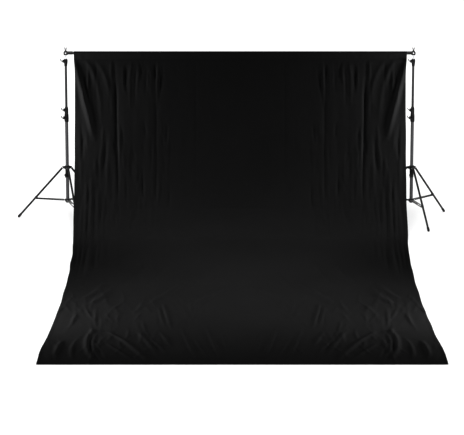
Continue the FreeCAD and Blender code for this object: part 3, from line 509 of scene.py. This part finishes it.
def hanging_folds(out, distance):
    height = np.zeros_like(out)
    for start, through, end, width, size in CORNER_FOLDS:
        fold(height, out, distance, start, through, end, width, size)
    for start, through, end, width, size in PANEL_CREASES:
        fold(height, out, distance, start, through, end, width, size, sharp=1.2)
    roll_width = 0.025 + 0.075 * ease(-distance, -1.75, -1.00)
    past = np.clip((out - FLAT_WIDTH / 2 + roll_width) / roll_width, 0.0, 1.0)
    roll = EDGE_ROLL * roll_width / 0.1 * past ** 2
    height -= roll * ease(distance, 0.55, 1.05) * ease(-distance, -1.8, -1.6)
    patchy = np.clip(wander(out, distance, 2.2, 1.0, 3.0) + 0.25, 0.0, 1.0)
    for level in LEVEL_CREASES:
        height -= 0.0028 * patchy * np.exp(-np.abs(distance - level) / 0.008)
    return height


# %% Short upright wrinkles
SHORT_WRINKLES = 130


def short_wrinkles(out, distance):
    """Small upright wrinkles in the slack outer panels, and puckers under the pocket."""
    height = np.zeros_like(out)
    draw = random.Random(11)
    for index in range(SHORT_WRINKLES):
        under_pocket = index % 4 == 0
        across_place = draw.uniform(0.62, 1.42)
        top = draw.uniform(1.60, 1.80) if under_pocket else draw.uniform(0.35, 1.25)
        length = draw.uniform(0.12, 0.38)
        lean = draw.uniform(-0.02, 0.02) + 0.02 * (0.9 - top) * (across_place > 1.2)
        bow = draw.uniform(-0.008, 0.008)
        size = draw.uniform(0.0014, 0.0038) * (1 if draw.random() < 0.5 else -1)
        fold(height, out, distance, (across_place, top), (across_place + lean / 2 + bow, top - length / 2),
             (across_place + lean, top - length), draw.uniform(0.008, 0.013), size)
    return height


# %% Slack towards the floor and over it
SIDE_RIPPLES = (((1.255, 0.62), (1.250, 0.10), (1.222, -1.05), 0.017, 0.0119),
                ((1.310, 0.70), (1.318, 0.00), (1.300, -1.55), 0.018, 0.0136),
                ((1.358, 0.66), (1.362, -0.10), (1.335, -1.35), 0.017, 0.0127),
                ((1.205, 0.50), (1.207, 0.00), (1.190, -0.80), 0.016, 0.0085),
                ((1.400, 0.50), (1.402, -0.20), (1.372, -1.10), 0.014, 0.0102),
                ((1.160, 0.40), (1.155, 0.00), (1.140, -0.55), 0.015, 0.0059))
OUTWARD_FOLDS = (((0.100, -1.55), (0.250, -1.867), (0.385, -2.20), 0.036, 0.0095),
                 ((0.470, -1.45), (0.595, -1.804), (0.735, -2.15), 0.036, 0.0107),
                 ((0.815, -0.85), (0.858, -1.286), (0.945, -1.62), 0.034, 0.0090),
                 ((1.040, -1.62), (1.117, -1.930), (1.200, -2.12), 0.031, 0.0113),
                 ((1.100, -1.38), (1.168, -1.741), (1.270, -1.97), 0.031, 0.0101),
                 ((0.620, -0.75), (0.660, -1.150), (0.735, -1.50), 0.031, 0.0057),
                 ((0.300, -1.05), (0.350, -1.400), (0.430, -1.70), 0.031, 0.0045))
FRONT_FOLDS = (((0.615, -2.10), (0.580, -2.460), (0.535, -2.86), 0.014, 0.0072),
               ((0.650, -2.20), (0.625, -2.500), (0.590, -2.80), 0.014, 0.0054),
               ((0.660, -3.82), (0.846, -3.302), (1.010, -2.95), 0.020, 0.0108),
               ((0.980, -2.965), (1.160, -2.915), (1.360, -2.94), 0.025, 0.0043),
               ((1.140, -2.25), (1.128, -2.620), (1.110, -2.80), 0.015, 0.0056),
               ((1.124, -2.86), (1.160, -3.300), (1.068, -3.74), 0.019, 0.0108),
               ((1.080, -2.95), (1.105, -3.350), (1.010, -3.76), 0.015, 0.0063),
               ((0.525, -3.36), (0.570, -3.150), (0.622, -2.93), 0.015, 0.0063),
               ((0.555, -3.55), (0.620, -3.330), (0.700, -3.12), 0.017, 0.0076),
               ((0.610, -3.62), (0.700, -3.260), (0.800, -2.90), 0.017, 0.0076),
               ((0.760, -3.80), (0.900, -3.500), (1.000, -3.30), 0.017, 0.0063),
               ((0.165, -2.84), (0.130, -3.200), (0.090, -3.62), 0.017, 0.0054),
               ((0.270, -2.80), (0.210, -3.270), (0.140, -3.79), 0.017, 0.0068),
               ((0.455, -2.84), (0.385, -3.360), (0.305, -3.80), 0.017, 0.0063),
               ((0.360, -3.10), (0.300, -3.420), (0.230, -3.80), 0.014, 0.0045),
               ((1.230, -3.10), (1.260, -3.400), (1.235, -3.70), 0.017, 0.0072),
               ((1.330, -3.15), (1.370, -3.420), (1.350, -3.74), 0.019, 0.0081),
               ((1.290, -2.30), (1.300, -2.650), (1.340, -2.96), 0.017, 0.0054),
               ((0.880, -2.80), (0.860, -3.000), (0.880, -3.20), 0.014, 0.0045),
               ((0.760, -2.62), (0.740, -2.860), (0.700, -3.10), 0.014, 0.0045))


def slack_folds(out, distance):
    height = np.zeros_like(out)
    for start, through, end, width, size in SIDE_RIPPLES + OUTWARD_FOLDS + FRONT_FOLDS:
        fold(height, out, distance, start, through, end, width, size)
    return height


# %% Small folds where the front lies slack
SMALL_FLOOR_FOLDS = 90


def small_floor_folds(out, distance):
    """Narrow folds that run towards the front edge, leaning a little to either side."""
    height = np.zeros_like(out)
    draw = random.Random(23)
    for index in range(SMALL_FLOOR_FOLDS):
        place = np.array((draw.uniform(0.30, 1.44), draw.uniform(-3.65, -1.9)))
        lean = draw.uniform(-0.30, 0.30)
        along = np.array((math.sin(lean), math.cos(lean))) * draw.uniform(0.10, 0.32)
        bow = np.array((along[1], -along[0])) * draw.uniform(-0.08, 0.08)
        size = draw.uniform(0.0012, 0.0032) * (0.4 + 0.6 * min(1.0, place[0] / 0.8))
        fold(height, out, distance, place - along, place + bow, place + along,
             draw.uniform(0.012, 0.020), size)
    return height


# %% Soft waves and fine wrinkles everywhere
def soft_waves(out, distance):
    """Broad slack waves, stronger away from the middle."""
    outer = 0.25 + 0.75 * ease(out, 0.35, 1.05)
    hanging = ease(distance, -0.1, 0.3) * ease(top_distance - distance, 0.05, 0.6)
    lying = 1 - ease(distance, -0.5, 0.1)
    upright = 0.0035 * wander(out, distance, 8.0, 0.8, 60.0) + 0.0016 * wander(out, distance, 19.0, 1.6, 61.0)
    flat = 0.0050 * wander(out, distance, 3.5, 1.6, 70.0) + 0.0030 * wander(out, distance, 9.0, 3.0, 71.0)
    front = 0.5 + 0.9 * ease(-distance, 1.9, 2.6)
    return outer * (hanging * upright + lying * front * flat)


def fine_wrinkles(x, distance):
    return (0.0010 * wander(x, distance, 12.0, 6.0, 80.0)
            + 0.0006 * wander(x, distance, 30.0, 18.0, 81.0)
            + 0.0003 * wander(x, distance, 70.0, 50.0, 82.0))


# %% [markdown]
# ## Building the sheet
# The whole sheet is worked out once as a grid: columns across, rows along. The side edges
# pull in a little over the floor, because the sheet was drawn forward by hand. Hems are a
# doubled strip, so they stand a little proud, and their stitching sinks a shallow line along them.

# %% The grid of points
HEM_WIDTH = 0.025
HEM_RISE = 0.0011


def sheet_edges(distance):
    """x of the left and right edge at each distance."""
    y = side_line(distance)[0]
    pulled = 0.048 * (1 - ((y + 2.25) / 1.74) ** 2) * ease(-y, 0.45, 0.95)
    pulled = np.maximum(pulled, -0.024)
    flare = 0.011 * bell(top_distance - distance, 0.10)
    waver = np.array([noise.noise(Vector((d * 3.1, 0.0, 90.0))) for d in distance.ravel()])
    other = np.array([noise.noise(Vector((d * 3.1, 5.0, 91.0))) for d in distance.ravel()])
    slack = 0.006 * ease(top_distance - distance, 0.3, 0.9)
    left = hang_low.x + 0.012 - flare + pulled + slack * waver
    right = hang_high.x - 0.013 + flare - pulled + slack * other
    return left, right


def hem_profile(from_edge):
    """Extra height of a doubled hem and the dip along its stitching."""
    doubled = HEM_RISE * (1 - ease(from_edge, HEM_WIDTH - 0.003, HEM_WIDTH + 0.002))
    stitches = 0.0008 * bell(from_edge - (HEM_WIDTH - 0.005), 0.003)
    return doubled - stitches


hanging_rows = np.linspace(seam_distance, 0.0, int(seam_distance / ROW_STEP_HANGING) + 1)
floor_rows = np.linspace(0.0, front_distance, int(-front_distance / ROW_STEP_FLOOR) + 1)[1:]
row_distance = np.concatenate([hanging_rows, floor_rows])
left_edge, right_edge = sheet_edges(row_distance)
across = np.linspace(0.0, 1.0, COLUMNS + 1)
hem_share = HEM_WIDTH / FLAT_WIDTH
across = np.sort(np.concatenate([across, [hem_share, 1 - hem_share, hem_share / 2, 1 - hem_share / 2]]))

grid_distance = np.repeat(row_distance[:, None], len(across), axis=1)
grid_x = left_edge[:, None] + (right_edge - left_edge)[:, None] * across[None, :]
grid_left = np.repeat(left_edge[:, None], len(across), axis=1)
grid_right = np.repeat(right_edge[:, None], len(across), axis=1)
print("rows", len(row_distance), "columns", len(across))

# %% Add the folds up
outward = np.abs(grid_x - SHEET_MIDDLE)
height = hanging_folds(outward, grid_distance)
height += short_wrinkles(outward, grid_distance)
height += slack_folds(outward, grid_distance) + small_floor_folds(outward, grid_distance)
height += soft_waves(outward, grid_distance)
height += fine_wrinkles(grid_x, grid_distance)

on_floor = 1 - ease(grid_distance, 0.02, 0.16)
lying = 0.5 * (height + np.sqrt(height ** 2 + 0.003 ** 2))
height = height * (1 - on_floor) + lying * on_floor
height *= ease(seam_distance - grid_distance, -0.02, 0.06)
from_side = np.minimum(grid_x - grid_left, grid_right - grid_x)
height += hem_profile(from_side)
front_gap = grid_distance - front_distance
height += hem_profile(front_gap)

grid_y, grid_z, tilt = side_line(grid_distance)
grid_y = grid_y - np.sin(tilt) * height
grid_z = grid_z + np.cos(tilt) * height + CLOTH_LIFT
print("fold heights", round(float(height.min()), 4), "to", round(float(height.max()), 4))

# %% [markdown]
# ## The rod pocket
# At the top, the sheet is turned over the bar and sewn down, which makes a flat tube that
# the bar slides through. In section it is a drop: round over the bar, and straight down
# both sides to the seam. Where the stitching gathers the cloth, it puckers.

# %% Pocket rows
POCKET_AROUND = 22
POCKET_SLACK = 0.0024
PUCKER = 0.0030


def pocket_section():
    """y and z from the seam's back, over the bar, and down to the seam's front."""
    seam_y, seam_z, _ = side_line(np.array([seam_distance]))
    radius = bar_radius + POCKET_SLACK
    gap = Vector((float(seam_y[0]), float(seam_z[0]) - bar_height))
    towards = math.atan2(gap.x, -gap.y)
    tangent = math.acos(radius / gap.length)
    turns = np.linspace(towards - tangent + 2 * math.pi, towards + tangent, POCKET_AROUND)
    round_y = radius * np.sin(turns)
    round_z = -radius * np.cos(turns)
    straight = np.linspace(0.0, 1.0, 6)[:-1]
    back_y = gap.x + 0.0008 + (round_y[0] - gap.x) * straight
    back_z = gap.y + (round_z[0] - gap.y) * straight
    front_y = round_y[-1] + (gap.x - round_y[-1]) * (1 - straight[::-1])
    front_z = round_z[-1] + (gap.y - round_z[-1]) * (1 - straight[::-1])
    ys = np.concatenate([back_y, round_y, front_y[:-1]])
    zs = np.concatenate([back_z, round_z, front_z[:-1]]) + bar_height
    return ys, zs


pocket_y, pocket_z = pocket_section()
print("pocket points", len(pocket_y), "top", round(float(pocket_z.max()), 4))

# %% Mesh of one band of the sheet
def grid_mesh(name, xs, ys, zs, flat_u, flat_v, normals):
    """A quad grid with smooth shading, its flat measures as UVs, and given normals."""
    rows, columns = xs.shape
    points = np.stack([xs, ys, zs], axis=-1).reshape(-1, 3)
    faces = []
    for row in range(rows - 1):
        for column in range(columns - 1):
            corner = row * columns + column
            faces.append((corner, corner + columns, corner + columns + 1, corner + 1))
    mesh = bpy.data.meshes.new(name)
    mesh.from_pydata(points.tolist(), [], faces)
    mesh.update()
    uv_layer = mesh.uv_layers.new(name="flat_cloth")
    loop_points = np.zeros(len(mesh.loops), dtype=np.int32)
    mesh.loops.foreach_get("vertex_index", loop_points)
    flat = np.stack([flat_u.ravel(), flat_v.ravel()], axis=-1)[loop_points]
    uv_layer.data.foreach_set("uv", flat.ravel())
    mesh.polygons.foreach_set("use_smooth", np.ones(len(mesh.polygons), dtype=bool))
    mesh.normals_split_custom_set_from_vertices(normals.reshape(-1, 3).tolist())
    obj = bpy.data.objects.new(name, mesh)
    bpy.context.scene.collection.objects.link(obj)
    return obj


def grid_normals(xs, ys, zs):
    """Unit normals over a grid, facing the front of the hanging cloth."""
    points = np.stack([xs, ys, zs], axis=-1)
    along = np.gradient(points, axis=0)
    side = np.gradient(points, axis=1)
    normal = np.cross(along, side)
    return normal / np.linalg.norm(normal, axis=-1, keepdims=True)


# %% Join the pocket and the sheet, then cut it into bands
pocket_rows = len(pocket_y)
pocket_grid_x = np.repeat(grid_x[:1], pocket_rows, axis=0)
pucker = 0.5 + 0.5 * wander(pocket_grid_x, np.zeros_like(pocket_grid_x), 28.0, 1.0, 95.0)
below = np.clip((bar_height - pocket_z) / SEAM_BELOW_BAR, 0.0, 1.0)[:, None]
facing = np.sign(np.arange(pocket_rows) - pocket_rows / 2)[:, None]
bulge = PUCKER * pucker * below * (1 - below) * 4
pocket_grid_y = pocket_y[:, None] - facing * bulge
pocket_grid_z = np.repeat(pocket_z[:, None], grid_x.shape[1], axis=1)

sheet_x = np.concatenate([pocket_grid_x, grid_x])
sheet_y = np.concatenate([pocket_grid_y, grid_y])
sheet_z = np.concatenate([pocket_grid_z, grid_z])
steps = np.hypot(np.diff(sheet_y.mean(axis=1)), np.diff(sheet_z.mean(axis=1)))
flat_length = np.concatenate([[0.0], np.cumsum(steps)])
sheet_v = np.repeat(flat_length[:, None], sheet_x.shape[1], axis=1)
sheet_u = np.repeat((across * FLAT_WIDTH)[None, :], sheet_x.shape[0], axis=0)
sheet_n = grid_normals(sheet_x, sheet_y, sheet_z)
print("flat length", round(float(flat_length[-1]), 3), "m")

# %% [markdown]
# ## Black muslin
# Muslin is a plain weave of thin cotton threads. Dyed black it has no shine, so its shader
# is fully matt and a fold reads only by how it turns to the light. The weave is two crossed
# waves with a pitch of about half a millimetre, and lint and a little dust make it look used.


# %% Weave group and cloth finish
def make_weave_group():
    tree, given, out = new_group(
        "plain_weave", {"Threads": 2000.0, "Unevenness": 0.35},
        {"Height": "NodeSocketFloat", "Patch": "NodeSocketFloat"})
    flat = add_node(tree, "ShaderNodeUVMap", uv_map="flat_cloth").outputs["UV"]
    parts = add_node(tree, "ShaderNodeSeparateXYZ", {"Vector": flat})
    drift = add_node(tree, "ShaderNodeTexNoise", {"Vector": flat, "Scale": 220.0, "Detail": 2.0})
    shift = math_node(tree, "MULTIPLY", drift.outputs["Fac"], given["Unevenness"])
    waves = []
    for axis in ("X", "Y"):
        turns = math_node(tree, "MULTIPLY", parts.outputs[axis], given["Threads"])
        phase = math_node(tree, "ADD", turns, math_node(tree, "MULTIPLY", shift, 6.0))
        waves.append(math_node(tree, "ABSOLUTE", math_node(tree, "SINE", phase, 0.0), 0.0))
    tree.links.new(math_node(tree, "MAXIMUM", waves[0], waves[1]), out["Height"])
    patch = add_node(tree, "ShaderNodeTexNoise", {"Vector": flat, "Scale": 1.6, "Detail": 4.0,
                                                  "Roughness": 0.6})
    tree.links.new(patch.outputs["Fac"], out["Patch"])
    return tree


CLOTH_BLACK = (0.0034, 0.0034, 0.00342, 1.0)
CLOTH_FADED = (0.0043, 0.0043, 0.00433, 1.0)
LINT = (0.07, 0.07, 0.07, 1.0)


def muslin():
    material, tree, shader = new_material(
        "black_muslin", Roughness=0.9, Specular_IOR_Level=0.0)
    weave = use_group(tree, weave_group, Threads=6283.0, Unevenness=0.35)
    film = use_group(tree, dust_group, Amount=0.006, Scale=18.0)
    flat = add_node(tree, "ShaderNodeUVMap", uv_map="flat_cloth").outputs["UV"]
    specks = add_node(tree, "ShaderNodeTexVoronoi", {"Vector": flat, "Scale": 55.0}, feature="F1")
    lint = ramp(tree, specks.outputs["Distance"], 0.03, 0.055, (0.5, 0.5, 0.5, 1.0), (0.0, 0.0, 0.0, 1.0))
    body = mixed(tree, weave["Patch"], CLOTH_BLACK, CLOTH_FADED)
    flecked = mixed(tree, lint, body, LINT)
    tree.links.new(mixed(tree, film["Mask"], flecked, DUST_COLOUR), shader.inputs["Base Color"])
    bump = add_node(tree, "ShaderNodeBump", {"Height": weave["Height"], "Strength": 0.5, "Distance": 0.0002})
    tree.links.new(bump.outputs["Normal"], shader.inputs["Normal"])
    return material


weave_group = make_weave_group()
finishes["cloth_black"] = muslin()
print("cloth finish:", finishes["cloth_black"].name)

# %% [markdown]
# ## Cutting the sheet into bands
# The posts telescope. A blend turns smoothly from one body to the next one only, and the
# post has four sections, so the hanging part is cut at three heights and each middle band is
# listed with the two neighbours it lies between; no blend is made here. The top band is
# carried by the top section of the left post and the floor band by the base. The bands share
# their border rows and their normals come from the whole sheet, so no cut shows.

# %% Bands
BAND_CUTS = (("backdrop_top", None, 1.38), ("backdrop_upper", 1.38, 1.06),
             ("backdrop_middle", 1.06, 0.44), ("backdrop_lower", 0.44, 0.10),
             ("backdrop_floor", 0.10, None))
BAND_BODIES = {"backdrop_upper": ("left_mast_3", "left_mast_4"),
               "backdrop_middle": ("left_mast_2", "left_mast_3"),
               "backdrop_lower": ("root", "left_mast_2")}

row_height = np.concatenate([np.full(pocket_rows, bar_height), side_line(row_distance)[1]])
cut_rows = {cut: int(np.argmin(np.abs(row_height - cut))) for _, _, cut in BAND_CUTS if cut}
bands = {}
for name, top, bottom in BAND_CUTS:
    first = cut_rows[top] if top else 0
    last = cut_rows[bottom] + 1 if bottom else len(row_height)
    part = slice(first, last)
    band = grid_mesh(name, sheet_x[part], sheet_y[part], sheet_z[part],
                     sheet_u[part], sheet_v[part], sheet_n[part])
    dress(band, "cloth_black")
    flat_size = (FLAT_WIDTH, float(flat_length[last - 1] - flat_length[first]))
    node = "backdrop_on_floor" if name == "backdrop_floor" else "backdrop_hanging"
    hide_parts(node)
    if name in BAND_BODIES:
        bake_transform(band)
    else:
        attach(band, "root" if name == "backdrop_floor" else "left_mast_4")
    held = "laid" if name == "backdrop_floor" else "hung"
    rest = ["backdrop_lower"] if name == "backdrop_floor" else ["crossbar_section_2"]
    bands[name] = (band, flat_size, held, rest)
    print(name, "rows", first, "to", last, "flat", [round(v, 3) for v in flat_size])

# %% [markdown]
# ## Side lights for the muslin
# Black muslin hardly shows its folds in even light, so the side panels skim it. They are
# linked to the cloth alone: at their strength the stands beside them would burn out.

# %% Link the side lights to the cloth
muslin_only = bpy.data.collections.new("muslin_only")
for band, *_ in bands.values():
    muslin_only.objects.link(band)
for lamp in cloth_lights:
    lamp.light_linking.receiver_collection = muslin_only

# %% [markdown]
# ## The studio floor
# A plain pale sheet. A very faint mottling keeps it from looking like a void.

# %% Floor finish
floor_material, floor_tree, floor_shader = new_material("studio_floor", Roughness=0.6, Specular_IOR_Level=0.1)
floor_place = add_node(floor_tree, "ShaderNodeTexCoord").outputs["Object"]
floor_noise = add_node(floor_tree, "ShaderNodeTexNoise", {"Vector": floor_place, "Scale": 1.5, "Detail": 3.0})
floor_tree.links.new(
    mixed(floor_tree, floor_noise.outputs["Fac"], (0.90, 0.90, 0.90, 1.0), (0.92, 0.92, 0.92, 1.0)),
    floor_shader.inputs["Base Color"])
floor.data.materials.append(floor_material)
print("floor finish:", floor_material.name)
